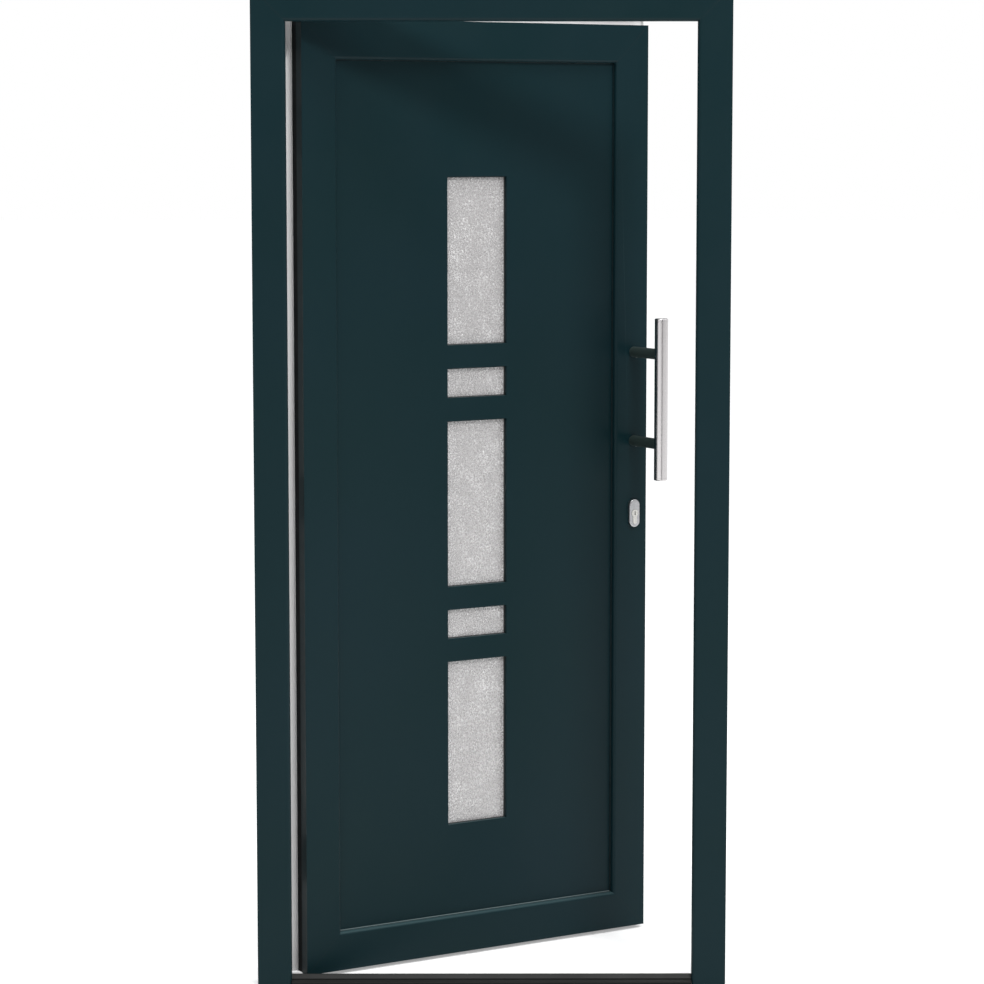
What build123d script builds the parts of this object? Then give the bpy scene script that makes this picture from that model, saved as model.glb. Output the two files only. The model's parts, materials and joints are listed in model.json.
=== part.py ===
from build123d import *
import os

# Panelled front door in its frame, aluminium profiles, opening inwards.
# Millimetres. +X to the right seen from outside, +Y inwards, +Z up.
# The origin is at the middle of the threshold's underside, halfway through the frame's depth.
# The leaf is modelled closed and then swung about its hinges to the angle at which it stands open.

# Frame
frame_width = 1000.0
frame_height = 2115.0
frame_depth = 70.0
frame_body = 52.0  # profile without its stop flange
stop_flange = 20.0  # how far the flange reaches into the doorway
stop_flange_depth = 22.0
frame_outer_depth = 26.0  # outer aluminium shell
frame_break_depth = 18.0  # plastic bars between the shells
frame_edge_round = 8.0

# Leaf
opening_angle = 31.0
leaf_depth = 70.0
leaf_body = 62.0  # profile without its glazing flange
glazing_flange = 22.0
glazing_flange_depth = 11.0
leaf_outer_depth = 24.0
leaf_break_depth = 20.0
leaf_edge_round = 7.0
rebate_gap = 12.0  # between the frame's rebate and the edge of the leaf
lip_reach = 20.0  # inner lip that laps over the frame
seal_gap = 4.0  # between the stop flange and the leaf's face
lip_gap = 5.0  # between the frame's inner face and the lip

# Walls, bars and running gaps
profile_wall = 2.0
inner_edge_round = 1.5
break_bar = 2.5
frame_break_inset = 6.0
leaf_break_inset = 1.0  # nearly flush, so the leaf's edge shows dark up to its inner shell
clear = 0.3  # between a seal and what it closes on
turning_gap = 0.05  # round a pin or plug
mitre_overrun = 60.0
break_joint = 0.5

# Seals
seal_width = 6.0
seal_foot = 1.4
bulb_root = 0.7  # how deep in the foot the round bulb starts
seal_inset = 1.0
glazing_seal = 3.0
glazing_seal_width = 8.0
threshold_seal_height = 6.0
threshold_seal_lift = 7.0

# Threshold
threshold_base_height = 4.0
threshold_plate = 1.5
ridge_height = 20.0
ridge_flat = 4.0
toe_height = 3.0
toe_rise = 2.5
toe_depth = 9.0
groove_depth = 2.0
groove_drop = 1.5  # from the toe's crest down to the groove
groove_rise = 4.0
drain_gap = 2.0
floor_gap = 2.5  # between the threshold plate and the leaf
brush_depth = 8.0
brush_inset = 12.0

# Panel with its windows
panel_edge_gap = 4.0
panel_thickness = 36.0
skin = 2.0
slot_width = 150.0
tall_slot = 364.0
small_slot = 64.0
slot_gap = 51.0
slots_below_middle = 22.5  # the five slots' middle below the leaf's middle
slot_pattern = (tall_slot, small_slot, tall_slot, small_slot, tall_slot)  # from the bottom up
slot_return = 10.0  # depth of the folded edge round a window
pane = 4.0
pane_overlap = 10.0
spacer_width = 7.0
bead_depth = 17.0
bead_round = 4.0

# Hinges
hinge_from_bottom = 250.0
hinge_from_top = 305.0
hinge_length = 100.0
hinge_knuckle = 38.0
hinge_knuckle_gap = 0.5
barrel_radius = 10.0
pin_radius = 5.0
pin_head = 4.0
pin_head_taper = 20.0
barrel_room = 1.0  # round the leaf's knuckle
hinge_axis_gap = 2.0  # past the lip's edge
hinge_axis_lift = 12.0  # above the leaf's inner face
frame_plate = 6.0
frame_plate_inset = 4.0
leaf_plate = 5.0
leaf_plate_width = 50.0
leaf_plate_inset = 10.0  # from the lip's edge
hinge_arm = 6.0
hinge_web = 4.0

# Lock, cylinder and strike
backset = 35.0
cylinder_height = 961.0
lever_spacing = 92.0
faceplate_thickness = 3.0
faceplate_length = 246.0
faceplate_above_cylinder = 59.0
case_depth = 50.0
case_thickness = 16.0
case_wall = 1.5
case_below = 31.0
case_above = 52.0
bolt_thickness = 12.0
bolt_play = 0.3
bolt_chamfer = 1.0
latch_height = 22.0
latch_above_lever = 25.0
latch_throw = 14.0
latch_flat = 3.0
latch_lead = 1.0  # straight part outside the faceplate
latch_head = 24.0
latch_tail = 3.0
latch_tail_length = 12.0
deadbolt_height = 34.0
deadbolt_above_cylinder = 39.0
deadbolt_length = 30.0
deadbolt_throw = 20.0
strike_thickness = 4.0
strike_width = 20.0
strike_length = 200.0
strike_round = 3.0
strike_play = 1.5
follower_radius = 11.0
boss_radius = 8.0
follower_arm = 19.0
follower_arm_width = 5.0
spindle_side = 8.0
profile_radius = 8.5  # round part of the cylinder's section
profile_leg = 10.0
profile_height = 33.0
plug_radius = 6.5
cam_width = 9.4
cam_slot = 10.0
cam_radius = 8.3
cam_reach = 15.0
cam_room = 1.0
cam_tooth = 4.0
keyway_width = 2.2
keyway_height = 8.5
keyway_depth = 28.0
cylinder_proud = 1.0

# Furniture
rosette_width = 27.0
rosette_height = 63.0
rosette_thickness = 8.0
rosette_round = 2.0
backplate_width = 32.0
backplate_length = 240.0
backplate_thickness = 8.0
backplate_above_cylinder = 39.0
neck_radius = 9.0
neck_length = 44.0
neck_bend = 15.0
grip_length = 112.0
grip_chamfer = 1.0
pull_radius = 15.0
pull_length = 360.0
pull_centre = 1225.0
pull_stand = 110.0  # from the leaf's face to the bar's axis
pull_end_chamfer = 1.5
standoff_radius = 12.0
standoff_spacing = 200.0

# Fixing holes in the jambs
fixing_from_bottom = 200.0
fixing_from_top = 265.0
fixing_count = 4
fixing_radius = 3.75

# Places that follow from the sizes
INWARDS = Vector(0, 1, 0)
LEFT_IN = Vector(1, 0, 0)
RIGHT_IN = Vector(-1, 0, 0)
TOP_IN = Vector(0, 0, -1)
BOTTOM_IN = Vector(0, 0, 1)

outer_face = -frame_depth / 2
inner_face = frame_depth / 2
half_width = frame_width / 2
rebate_x = half_width - frame_body
flange_x = rebate_x - stop_flange
frame_inner_start = frame_outer_depth + frame_break_depth
leaf_face = outer_face + stop_flange_depth + seal_gap
leaf_back = leaf_face + leaf_depth
leaf_half = rebate_x - rebate_gap
plate_top = threshold_base_height + threshold_plate
leaf_bottom = plate_top + floor_gap
leaf_top = frame_height - frame_body - rebate_gap
leaf_height = leaf_top - leaf_bottom
leaf_inner_start = leaf_outer_depth + leaf_break_depth
lip_start = inner_face + lip_gap - leaf_face
hinge_x = -(leaf_half + lip_reach + hinge_axis_gap)
hinge_y = leaf_back + hinge_axis_lift
panel_start = glazing_flange_depth + glazing_seal
panel_end = panel_start + panel_thickness
bead_start = leaf_depth - bead_depth
lock_x = leaf_half - backset
middle_depth = leaf_outer_depth + leaf_break_depth / 2
lock_y = leaf_face + middle_depth
lever_height = cylinder_height + lever_spacing
latch_centre = lever_height + latch_above_lever
deadbolt_centre = cylinder_height + deadbolt_above_cylinder
faceplate_centre = cylinder_height + faceplate_above_cylinder
backplate_centre = cylinder_height + backplate_above_cylinder
hinge_axis = Axis((hinge_x, hinge_y, 0), (0, 0, 1))
top_hinge = frame_height - hinge_from_top
middle_hinge = (hinge_from_bottom + top_hinge) / 2
hinge_heights = {"bottom": hinge_from_bottom, "middle": middle_hinge, "top": top_hinge}
fixing_pitch = (frame_height - fixing_from_top - fixing_from_bottom) / (fixing_count - 1)
fixing_heights = [fixing_from_bottom + row * fixing_pitch for row in range(fixing_count)]


def leaf_plane(depth):
    """A plane parallel to the closed leaf, this deep behind its outer face, seen from outside."""
    return Plane(origin=(0, leaf_face + depth, 0), x_dir=(1, 0, 0), z_dir=(0, -1, 0))


def profile_section(corners, rounds, wall):
    """A profile's section: x from the outer edge inwards, y through the depth. Rounds are (corner, radius)."""
    with BuildSketch() as section:
        with BuildLine():
            Polyline(*corners, close=True)
        make_face()
        for corner, radius in rounds:
            fillet(section.vertices().sort_by_distance((*corner, 0))[0], radius)
        if wall:
            offset(amount=-wall, kind=Kind.INTERSECTION, mode=Mode.SUBTRACT)
    return section.sketch


def mitred_bar(section, corner, inward, length, start_mitre=True, end_mitre=True, gap=0.0):
    """A profile along one side of the frame or leaf, cut at 45 degrees at the ends that are mitred."""
    run = Plane(origin=corner, x_dir=inward, z_dir=inward.cross(INWARDS))
    before = mitre_overrun if start_mitre else 0
    after = mitre_overrun if end_mitre else 0
    far_corner = run.origin + run.z_dir * length
    with BuildPart() as bar:
        with BuildSketch(run.offset(-before)):
            add(section)
        extrude(amount=length + before + after)
        if start_mitre:
            split(bisect_by=Plane(run.origin + run.z_dir * gap, z_dir=run.z_dir - inward), keep=Keep.TOP)
        if end_mitre:
            split(bisect_by=Plane(far_corner - run.z_dir * gap, z_dir=-run.z_dir - inward), keep=Keep.TOP)
    return bar.part


def break_section(body, start, depth, inset):
    """The two plastic bars that join an outer shell to an inner one."""
    with BuildSketch() as section:
        for edge in (inset, body - inset - break_bar):
            with Locations((edge + break_bar / 2, start + depth / 2)):
                Rectangle(break_bar, depth)
    return section.sketch


def seal_section(edge, start, thickness, direction):
    """A rubber seal: a flat foot with a round bulb, standing off the face at start in this direction."""
    bulb_radius = (thickness - bulb_root) / 2
    with BuildSketch() as section:
        with Locations((edge + seal_width / 2, start + direction * seal_foot / 2)):
            Rectangle(seal_width, seal_foot)
        with Locations((edge + seal_width / 2, start + direction * (thickness - bulb_radius))):
            Circle(bulb_radius)
    return section.sketch


# Holes that a stranger's screws pass through, on the middle line of each jamb's inner shell
fixing_y = outer_face + (frame_inner_start + frame_depth) / 2
with BuildPart() as fixing_holes:
    with BuildSketch(Plane.YZ.offset(-half_width)):
        for height in fixing_heights:
            with Locations((fixing_y, height)):
                Circle(fixing_radius)
    extrude(amount=frame_width)

# Pockets for the two bolts, through the wall behind the strike plate
with BuildPart() as strike_pockets:
    with BuildSketch(Plane.YZ.offset(rebate_x - strike_thickness)):
        with Locations((lock_y, latch_centre)):
            Rectangle(bolt_thickness + 2 * strike_play, latch_height + 2 * strike_play)
        with Locations((lock_y, deadbolt_centre)):
            Rectangle(bolt_thickness + 2 * strike_play, deadbolt_height + 2 * strike_play)
    extrude(amount=strike_thickness + profile_wall + strike_play)

# Sections of the frame's profiles
frame_outer_section = profile_section(
    [
        (0, 0),
        (frame_body + stop_flange, 0),
        (frame_body + stop_flange, stop_flange_depth),
        (frame_body, stop_flange_depth),
        (frame_body, frame_outer_depth),
        (0, frame_outer_depth),
    ],
    [((frame_body + stop_flange, 0), frame_edge_round)],
    profile_wall,
)
frame_inner_section = profile_section(
    [(0, frame_inner_start), (frame_body, frame_inner_start), (frame_body, frame_depth), (0, frame_depth)],
    [((frame_body, frame_depth), inner_edge_round)],
    profile_wall,
)
frame_break_section = break_section(frame_body, frame_outer_depth, frame_break_depth, frame_break_inset)
frame_seal_section = seal_section(
    frame_body + stop_flange - seal_inset - seal_width, stop_flange_depth, seal_gap - clear, 1
)

# Each side of the frame: corner, direction inwards, length, mitre at the start, mitre at the end
frame_sides = {
    "hinge_jamb": (Vector(-half_width, outer_face, 0), LEFT_IN, frame_height, False, True),
    "head": (Vector(-half_width, outer_face, frame_height), TOP_IN, frame_width, True, True),
    "lock_jamb": (Vector(half_width, outer_face, frame_height), RIGHT_IN, frame_height, True, False),
}

frame_pieces = {}
for side, placing in frame_sides.items():
    outer_bar = mitred_bar(frame_outer_section, *placing)
    inner_bar = mitred_bar(frame_inner_section, *placing)
    with BuildPart() as frame_outer_shell:
        add(outer_bar)
    with BuildPart() as frame_inner_shell:
        add(inner_bar)
        if side != "head":
            add(fixing_holes.part, mode=Mode.SUBTRACT)
        if side == "lock_jamb":
            add(strike_pockets.part, mode=Mode.SUBTRACT)
    frame_pieces[f"frame_{side}_outer"] = frame_outer_shell.part
    frame_pieces[f"frame_{side}_inner"] = frame_inner_shell.part

frame_break_bars = [
    mitred_bar(frame_break_section, *placing, gap=break_joint) for placing in frame_sides.values()
]
with BuildPart() as frame_thermal_breaks:
    for bars in frame_break_bars:
        add(bars)

# One rubber seal round the head and both jambs, down to the threshold plate
seal_runs = []
for corner, inward, length, start_mitre, end_mitre in frame_sides.values():
    if inward is LEFT_IN:
        corner = corner + Vector(0, 0, plate_top)
    if inward is not TOP_IN:
        length = length - plate_top
    seal_runs.append(mitred_bar(frame_seal_section, corner, inward, length, start_mitre, end_mitre))
with BuildPart() as frame_seal:
    for run in seal_runs:
        add(run)

# Threshold: a plastic base between the jambs, an aluminium ridge outside and a flat plate inside
ridge_back = outer_face + stop_flange_depth
with BuildPart() as threshold_base:
    with BuildSketch():
        with Locations((0, (outer_face + ridge_back) / 2)):
            Rectangle(2 * flange_x, stop_flange_depth)
        with Locations((0, (ridge_back + inner_face) / 2)):
            Rectangle(2 * rebate_x, inner_face - ridge_back)
    extrude(amount=threshold_base_height)

toe_top = threshold_base_height + toe_height
groove_floor = toe_top + toe_rise - groove_drop
with BuildPart() as threshold_ridge:
    with BuildSketch(Plane.YZ.offset(-flange_x)):
        with BuildLine():
            Polyline(
                (outer_face, threshold_base_height),
                (outer_face, toe_top),
                (outer_face + toe_depth, toe_top + toe_rise),
                (outer_face + toe_depth, groove_floor),
                (outer_face + toe_depth + groove_depth, groove_floor),
                (outer_face + toe_depth + groove_depth, groove_floor + groove_rise),
                (ridge_back - ridge_flat, ridge_height),
                (ridge_back, ridge_height),
                (ridge_back, threshold_base_height),
                close=True,
            )
        make_face()
    extrude(amount=2 * flange_x)

with BuildPart() as threshold_inner_plate:
    with BuildSketch(Plane.XY.offset(threshold_base_height)):
        with Locations((0, (ridge_back + drain_gap + inner_face) / 2)):
            Rectangle(2 * rebate_x, inner_face - ridge_back - drain_gap)
    extrude(amount=threshold_plate)

with BuildPart() as threshold_seal:
    with BuildSketch(Plane.YZ.offset(-flange_x)):
        with Locations((ridge_back + seal_foot / 2, threshold_base_height + threshold_seal_lift)):
            Rectangle(seal_foot, threshold_seal_height)
        seal_bulb = (seal_gap - clear - bulb_root) / 2
        with Locations((ridge_back + seal_gap - clear - seal_bulb, threshold_base_height + threshold_seal_lift)):
            Circle(seal_bulb)
    extrude(amount=2 * flange_x)

# Strike plate on the lock jamb's rebate, with a hole for each bolt
strike_y = inner_face - strike_width / 2
strike_centre = (latch_centre + deadbolt_centre) / 2
with BuildPart() as strike_plate:
    with BuildSketch(Plane.YZ.offset(rebate_x - strike_thickness)):
        with Locations((strike_y, strike_centre)):
            RectangleRounded(strike_width, strike_length, strike_round)
    extrude(amount=strike_thickness)
    add(strike_pockets.part, mode=Mode.SUBTRACT)

frame_pieces.update(
    {
        "frame_thermal_breaks": frame_thermal_breaks.part,
        "frame_seal": frame_seal.part,
        "threshold_base": threshold_base.part,
        "threshold_ridge": threshold_ridge.part,
        "threshold_inner_plate": threshold_inner_plate.part,
        "threshold_seal": threshold_seal.part,
        "strike_plate": strike_plate.part,
    }
)

# Hinges: two knuckles on the frame, one on the leaf between them, and a pin through all three
knuckle_room = hinge_knuckle + 2 * hinge_knuckle_gap
for place, height in hinge_heights.items():
    with BuildPart() as hinge_frame_half:
        with BuildSketch(Plane.XY.offset(height - hinge_length / 2)):
            plate_left = -half_width + frame_plate_inset
            arm_right = hinge_x - barrel_radius + hinge_arm
            with Locations(((plate_left + arm_right) / 2, inner_face + frame_plate / 2)):
                Rectangle(arm_right - plate_left, frame_plate)
            with Locations((arm_right - hinge_arm / 2, (inner_face + hinge_y) / 2)):
                Rectangle(hinge_arm, hinge_y - inner_face)
            with Locations((hinge_x, hinge_y)):
                Circle(barrel_radius)
        extrude(amount=hinge_length)
        with BuildSketch(Plane.XY.offset(height - knuckle_room / 2)):
            with Locations((hinge_x, hinge_y)):
                Circle(barrel_radius + barrel_room)
        extrude(amount=knuckle_room, mode=Mode.SUBTRACT)
        with BuildSketch(Plane.XY.offset(height - hinge_length / 2)):
            with Locations((hinge_x, hinge_y)):
                Circle(pin_radius + turning_gap)
        extrude(amount=hinge_length, mode=Mode.SUBTRACT)
    frame_pieces[f"hinge_{place}_frame_half"] = hinge_frame_half.part

with BuildPart() as hinge_pins:
    for height in hinge_heights.values():
        with BuildSketch(Plane.XY.offset(height - hinge_length / 2)):
            with Locations((hinge_x, hinge_y)):
                Circle(pin_radius)
        extrude(amount=hinge_length)
        for end, direction in ((height - hinge_length / 2, -1), (height + hinge_length / 2, 1)):
            with BuildSketch(Plane.XY.offset(end)):
                with Locations((hinge_x, hinge_y)):
                    Circle(barrel_radius)
            extrude(amount=direction * pin_head, taper=pin_head_taper)
frame_pieces["hinge_pins"] = hinge_pins.part

# Sections of the leaf's profiles
leaf_outer_section = profile_section(
    [
        (0, 0),
        (leaf_body + glazing_flange, 0),
        (leaf_body + glazing_flange, glazing_flange_depth),
        (leaf_body, glazing_flange_depth),
        (leaf_body, leaf_outer_depth),
        (0, leaf_outer_depth),
    ],
    [((leaf_body + glazing_flange, 0), leaf_edge_round)],
    profile_wall,
)
leaf_lipped_section = profile_section(
    [
        (0, leaf_inner_start),
        (leaf_body, leaf_inner_start),
        (leaf_body, leaf_depth),
        (-lip_reach, leaf_depth),
        (-lip_reach, lip_start),
        (0, lip_start),
    ],
    [((-lip_reach, leaf_depth), inner_edge_round)],
    profile_wall,
)
leaf_plain_section = profile_section(
    [(0, leaf_inner_start), (leaf_body, leaf_inner_start), (leaf_body, leaf_depth), (0, leaf_depth)],
    [((0, leaf_depth), inner_edge_round)],
    profile_wall,
)
bead_section = profile_section(
    [
        (leaf_body, bead_start),
        (leaf_body + glazing_flange, bead_start),
        (leaf_body + glazing_flange, leaf_depth),
        (leaf_body, leaf_depth),
    ],
    [((leaf_body + glazing_flange, leaf_depth), bead_round)],
    profile_wall,
)
leaf_break_section = break_section(leaf_body, leaf_outer_depth, leaf_break_depth, leaf_break_inset)
lip_seal_section = seal_section(-lip_reach + seal_inset, lip_start, lip_gap - clear, -1)

# Each side of the leaf: corner, direction inwards, length
leaf_sides = {
    "hinge_stile": (Vector(-leaf_half, leaf_face, leaf_bottom), LEFT_IN, leaf_height),
    "top_rail": (Vector(-leaf_half, leaf_face, leaf_top), TOP_IN, 2 * leaf_half),
    "lock_stile": (Vector(leaf_half, leaf_face, leaf_top), RIGHT_IN, leaf_height),
    "bottom_rail": (Vector(leaf_half, leaf_face, leaf_bottom), BOTTOM_IN, 2 * leaf_half),
}
lip_sides = ("hinge_stile", "top_rail", "lock_stile")


def cylinder_outline(grow):
    """The keyhole-shaped section of the lock cylinder, in the leaf's plane, grown by a clearance."""
    with BuildSketch() as outline:
        with Locations((lock_x, cylinder_height)):
            Circle(profile_radius + grow)
        leg_bottom = cylinder_height + profile_radius - profile_height
        leg_centre = leg_bottom + profile_leg / 2
        with Locations((lock_x, leg_centre)):
            Circle(profile_leg / 2 + grow)
        with Locations((lock_x, (leg_centre + cylinder_height) / 2)):
            Rectangle(profile_leg + 2 * grow, cylinder_height - leg_centre)
    return outline.sketch


# What the lock set takes out of the lock stile
with BuildPart() as lock_passages:
    with BuildSketch(leaf_plane(0)):
        add(cylinder_outline(bolt_play))
    extrude(amount=-leaf_depth)
    with BuildSketch(leaf_plane(leaf_inner_start)):
        with Locations((lock_x, lever_height)):
            Circle(boss_radius + bolt_play)
    extrude(amount=-(leaf_depth - leaf_inner_start))
with BuildPart() as lock_notch:
    with BuildSketch(leaf_plane(leaf_outer_depth)):
        with Locations((leaf_half - case_depth / 2, faceplate_centre)):
            Rectangle(case_depth, faceplate_length + 2 * break_joint)
    extrude(amount=-leaf_break_depth)

leaf_pieces = {}
for side, placing in leaf_sides.items():
    lipped = side in lip_sides
    outer_bar = mitred_bar(leaf_outer_section, *placing)
    inner_bar = mitred_bar(leaf_lipped_section if lipped else leaf_plain_section, *placing)
    with BuildPart() as leaf_outer_shell:
        add(outer_bar)
        if side == "lock_stile":
            add(lock_passages.part, mode=Mode.SUBTRACT)
    with BuildPart() as leaf_inner_shell:
        add(inner_bar)
        if side == "lock_stile":
            add(lock_passages.part, mode=Mode.SUBTRACT)
        split(bisect_by=Plane.XY.offset(leaf_bottom), keep=Keep.TOP)
    leaf_pieces[f"leaf_{side}_outer"] = leaf_outer_shell.part
    leaf_pieces[f"leaf_{side}_inner"] = leaf_inner_shell.part

leaf_break_bars = [
    mitred_bar(leaf_break_section, *placing, gap=break_joint) for placing in leaf_sides.values()
]
with BuildPart() as leaf_thermal_breaks:
    for bars in leaf_break_bars:
        add(bars)
    add(lock_notch.part, mode=Mode.SUBTRACT)

lip_seal_runs = [mitred_bar(lip_seal_section, *leaf_sides[side]) for side in lip_sides]
with BuildPart() as leaf_lip_seal:
    for run in lip_seal_runs:
        add(run)
    split(bisect_by=Plane.XY.offset(leaf_bottom), keep=Keep.TOP)

brush_y = leaf_face + brush_inset + brush_depth / 2
with BuildPart() as leaf_brush_seal:
    with BuildSketch(Plane.XY.offset(plate_top + clear)):
        with Locations((0, brush_y)):
            Rectangle(2 * leaf_half, brush_depth)
    extrude(amount=floor_gap - clear)

bead_bars = {side: mitred_bar(bead_section, *placing) for side, placing in leaf_sides.items()}
for side, bar in bead_bars.items():
    with BuildPart() as glazing_bead:
        add(bar)
    leaf_pieces[f"glazing_bead_{side}"] = glazing_bead.part

# Panel: two aluminium skins on a foam core, with a glazing seal round each face
panel_width = 2 * (leaf_half - leaf_body - panel_edge_gap)
panel_height = leaf_height - 2 * (leaf_body + panel_edge_gap)
panel_middle = (leaf_top + leaf_bottom) / 2
seal_half_width = leaf_half - leaf_body - glazing_flange + glazing_seal_width
seal_half_height = leaf_height / 2 - leaf_body - glazing_flange + glazing_seal_width

slots_height = sum(slot_pattern) + slot_gap * (len(slot_pattern) - 1)
slot_centres = []
slot_edge = (leaf_bottom + leaf_top - slots_height) / 2 - slots_below_middle
for slot_height in slot_pattern:
    slot_centres.append((slot_edge + slot_height / 2, slot_height))
    slot_edge = slot_edge + slot_height + slot_gap


def slot_rectangles(grow):
    """All five window slots in the panel's plane, grown by this much on every side."""
    with BuildSketch() as slots:
        for centre, height in slot_centres:
            with Locations((0, centre)):
                Rectangle(slot_width + 2 * grow, height + 2 * grow)
    return slots.sketch


with BuildPart() as panel_outer_skin:
    with BuildSketch(leaf_plane(panel_start)):
        with Locations((0, panel_middle)):
            Rectangle(panel_width, panel_height)
    extrude(amount=-skin)
    with BuildSketch(leaf_plane(panel_start)):
        add(slot_rectangles(skin))
    extrude(amount=-slot_return)
    with BuildSketch(leaf_plane(panel_start)):
        add(slot_rectangles(0))
    extrude(amount=-slot_return, mode=Mode.SUBTRACT)

with BuildPart() as panel_inner_skin:
    with BuildSketch(leaf_plane(panel_end - skin)):
        with Locations((0, panel_middle)):
            Rectangle(panel_width, panel_height)
        add(slot_rectangles(0), mode=Mode.SUBTRACT)
    extrude(amount=-skin)

unit_start = panel_start + slot_return
unit_end = panel_end - skin
with BuildPart() as panel_core:
    with BuildSketch(leaf_plane(panel_start + skin)):
        with Locations((0, panel_middle)):
            Rectangle(panel_width, panel_height)
        add(slot_rectangles(skin), mode=Mode.SUBTRACT)
    extrude(amount=-(panel_thickness - 2 * skin))
    with BuildSketch(leaf_plane(unit_start)):
        add(slot_rectangles(pane_overlap))
    extrude(amount=-(unit_end - unit_start), mode=Mode.SUBTRACT)


def glazing_seal_ring(depth):
    """A flat seal round the panel between a profile's edge and a skin, starting this deep in the leaf."""
    with BuildPart() as ring:
        with BuildSketch(leaf_plane(depth)):
            with Locations((0, panel_middle)):
                Rectangle(2 * seal_half_width, 2 * seal_half_height)
                Rectangle(
                    2 * (seal_half_width - glazing_seal_width),
                    2 * (seal_half_height - glazing_seal_width),
                    mode=Mode.SUBTRACT,
                )
        extrude(amount=-glazing_seal)
    return ring.part


leaf_pieces.update(
    {
        "leaf_thermal_breaks": leaf_thermal_breaks.part,
        "leaf_lip_seal": leaf_lip_seal.part,
        "leaf_brush_seal": leaf_brush_seal.part,
        "panel_outer_skin": panel_outer_skin.part,
        "panel_inner_skin": panel_inner_skin.part,
        "panel_core": panel_core.part,
        "panel_outer_seal": glazing_seal_ring(glazing_flange_depth),
        "panel_inner_seal": glazing_seal_ring(panel_end),
    }
)

# Windows: an outer pane of obscure glass and an inner pane, held apart by a spacer round the edge
for number, (centre, height) in enumerate(reversed(slot_centres), start=1):
    with BuildPart() as outer_pane:
        with BuildSketch(leaf_plane(unit_start)):
            with Locations((0, centre)):
                Rectangle(slot_width + 2 * pane_overlap, height + 2 * pane_overlap)
        extrude(amount=-pane)
    leaf_pieces[f"window_{number}_outer_pane"] = outer_pane.part

with BuildPart() as window_inner_panes:
    with BuildSketch(leaf_plane(unit_end - pane)):
        add(slot_rectangles(pane_overlap))
    extrude(amount=-pane)

with BuildPart() as window_spacers:
    with BuildSketch(leaf_plane(unit_start + pane)):
        add(slot_rectangles(pane_overlap))
        add(slot_rectangles(pane_overlap - spacer_width), mode=Mode.SUBTRACT)
    extrude(amount=-(unit_end - unit_start - 2 * pane))

leaf_pieces["window_inner_panes"] = window_inner_panes.part
leaf_pieces["window_spacers"] = window_spacers.part

# The leaf's half of each hinge
plate_left = -leaf_half - lip_reach + leaf_plate_inset
for place, height in hinge_heights.items():
    with BuildPart() as hinge_leaf_half:
        with BuildSketch(Plane.XY.offset(height - hinge_length / 2)):
            with Locations((plate_left + leaf_plate_width / 2, leaf_back + leaf_plate / 2)):
                Rectangle(leaf_plate_width, leaf_plate)
        extrude(amount=hinge_length)
        with BuildSketch(Plane.XY.offset(height - hinge_knuckle / 2)):
            with Locations((hinge_x, hinge_y)):
                Circle(barrel_radius)
            with Locations(((hinge_x + plate_left) / 2, leaf_back + leaf_plate - hinge_web / 2)):
                Rectangle(plate_left - hinge_x, hinge_web)
        extrude(amount=hinge_knuckle)
        with BuildSketch(Plane.XY.offset(height - hinge_knuckle / 2)):
            with Locations((hinge_x, hinge_y)):
                Circle(pin_radius + turning_gap)
        extrude(amount=hinge_knuckle, mode=Mode.SUBTRACT)
    leaf_pieces[f"hinge_{place}_leaf_half"] = hinge_leaf_half.part

# Mortice lock: faceplate on the edge, case behind it, two bolts
bolt_holes_y = bolt_thickness + 2 * bolt_play
with BuildPart() as bolt_passages:
    with BuildSketch(Plane.YZ.offset(leaf_half - faceplate_thickness - case_wall)):
        with Locations((lock_y, latch_centre)):
            Rectangle(bolt_holes_y, latch_height + 2 * bolt_play)
        with Locations((lock_y, deadbolt_centre)):
            Rectangle(bolt_holes_y, deadbolt_height + 2 * bolt_play)
    extrude(amount=faceplate_thickness + case_wall)

with BuildPart() as lock_faceplate:
    with BuildSketch(Plane.YZ.offset(leaf_half - faceplate_thickness)):
        with Locations((lock_y, faceplate_centre)):
            Rectangle(leaf_break_depth, faceplate_length)
    extrude(amount=faceplate_thickness)
    add(bolt_passages.part, mode=Mode.SUBTRACT)

case_front = leaf_half - faceplate_thickness
case_bottom = cylinder_height - case_below
case_top = lever_height + case_above
case_start = leaf_outer_depth + (leaf_break_depth - case_thickness) / 2
with BuildPart() as lock_case:
    with BuildSketch(leaf_plane(case_start)):
        with Locations((case_front - case_depth / 2, (case_bottom + case_top) / 2)):
            Rectangle(case_depth, case_top - case_bottom)
    extrude(amount=-case_thickness)
    with BuildSketch(leaf_plane(case_start + case_wall)):
        with Locations((case_front - case_depth / 2, (case_bottom + case_top) / 2)):
            Rectangle(case_depth - 2 * case_wall, case_top - case_bottom - 2 * case_wall)
    extrude(amount=-(case_thickness - 2 * case_wall), mode=Mode.SUBTRACT)
    with BuildSketch(leaf_plane(case_start)):
        add(cylinder_outline(bolt_play))
        with Locations((lock_x, lever_height)):
            Circle(boss_radius + turning_gap)
    extrude(amount=-case_thickness, mode=Mode.SUBTRACT)
    add(bolt_passages.part, mode=Mode.SUBTRACT)

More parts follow.
